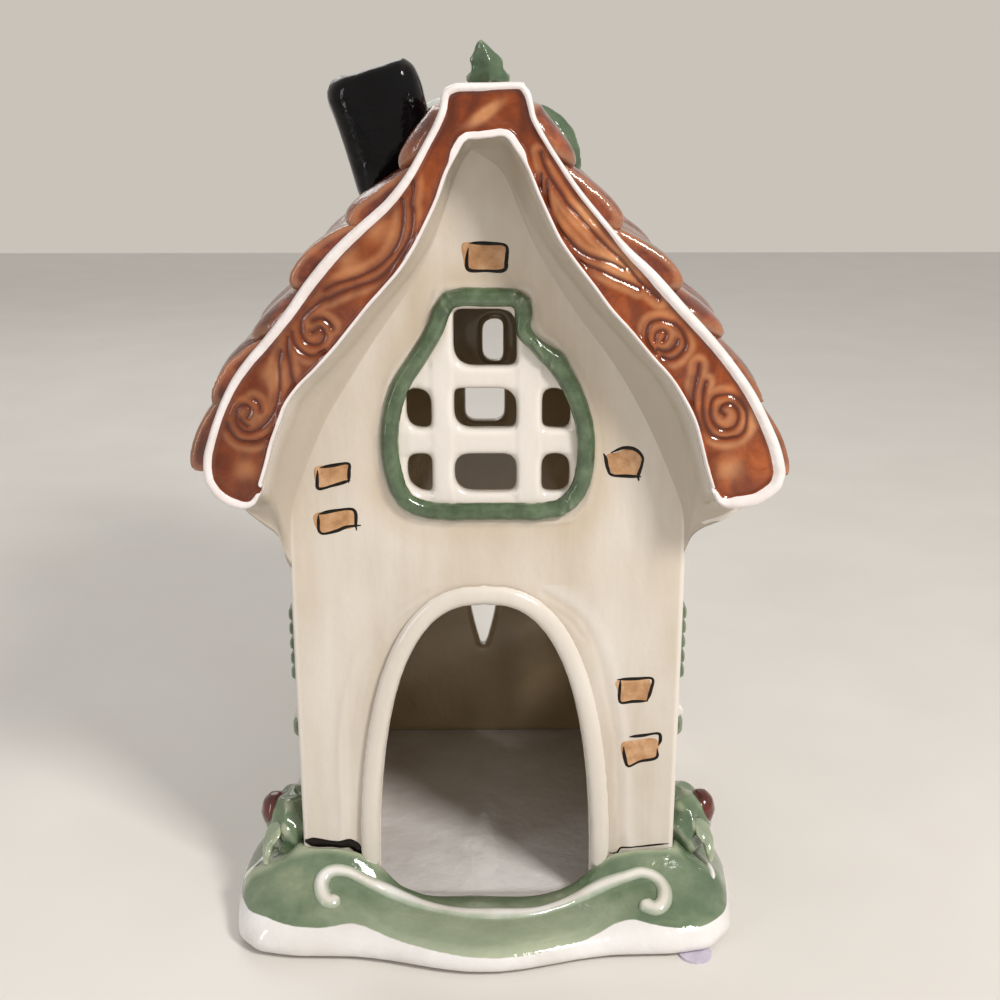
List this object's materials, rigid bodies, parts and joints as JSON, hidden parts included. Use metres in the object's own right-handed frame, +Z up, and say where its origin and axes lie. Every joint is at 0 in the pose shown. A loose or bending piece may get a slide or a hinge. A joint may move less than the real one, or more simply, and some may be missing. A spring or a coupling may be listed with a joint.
{
  "type": "house luminary",
  "caption": "Hollow glazed ceramic cottage with a swept tiled roof, arched doorway, cut-out windows and garden base, lit by a tealight set inside.",
  "frame": {"origin": "middle of the bounding box, on the table that the house stands on", "axes": "+Z up to the ridge, +X to the right of the doorway, -Y out of the doorway towards the viewer"},
  "size_m": [0.1552, 0.1572, 0.24],
  "materials": {
    "cream_glaze": "glossy clear glaze over cream underglaze with brushed beige washes",
    "white_glaze": "glossy clear glaze over white",
    "window_green": "glossy green glaze that pools darker in corners",
    "garden_green": "glossy green glaze with paler olive patches and a white skirt",
    "leaf_green": "glossy green glaze, paler on the ridges",
    "rust_glaze": "glossy translucent orange-brown glaze in a white rim",
    "tile_glaze": "glossy orange-brown glaze with grey-green in the laps",
    "black_glaze": "glossy black glaze",
    "berry_red": "glossy dark red glaze",
    "lilac_pad": "satin self-adhesive pad"
  },
  "bodies": {
    "root": {"wall_front": "cream_glaze", "wall_back": "cream_glaze", "wall_right": "cream_glaze", "wall_left": "cream_glaze", "window_frame_right": "window_green", "window_frame_left": "window_green", "shutter_right_front": "window_green", "shutter_left_front": "window_green", "shutter_right_back": "window_green", "shutter_left_back": "window_green", "window_sill_right": "white_glaze", "window_sill_left": "white_glaze", "flower_box_right": "leaf_green", "flower_box_left": "leaf_green", "base_plinth": "garden_green", "bumper_foot_front_right": "lilac_pad", "bumper_foot_front_left": "lilac_pad", "bumper_foot_back_right": "lilac_pad", "bumper_foot_back_left": "lilac_pad", "doorstep_scroll": "white_glaze", "door_surround": "cream_glaze", "window_frame_front": "window_green", "bargeboard_front": "rust_glaze", "gable_reveal_front": "cream_glaze", "bargeboard_back": "rust_glaze", "gable_reveal_back": "cream_glaze", "chimney": "black_glaze", "roof_right": "cream_glaze", "roof_left": "cream_glaze", "tiles_right_1": "tile_glaze", "tiles_left_1": "tile_glaze", "tiles_right_2": "tile_glaze", "tiles_left_2": "tile_glaze", "tiles_right_3": "tile_glaze", "tiles_left_3": "tile_glaze", "tiles_right_4": "tile_glaze", "tiles_left_4": "tile_glaze", "tiles_right_5": "tile_glaze", "tiles_left_5": "tile_glaze", "tiles_right_6": "tile_glaze", "tiles_left_6": "tile_glaze", "ridge_cap": "tile_glaze", "leaf_ridge_top": "leaf_green", "leaf_ridge_right": "leaf_green", "leaf_ridge_left": "leaf_green", "shrub_right": "leaf_green", "berry_right": "berry_red", "leaf_garden_right": "leaf_green", "shrub_left": "leaf_green", "berry_left": "berry_red", "leaf_garden_left": "leaf_green"}
  },
  "joints": []
}
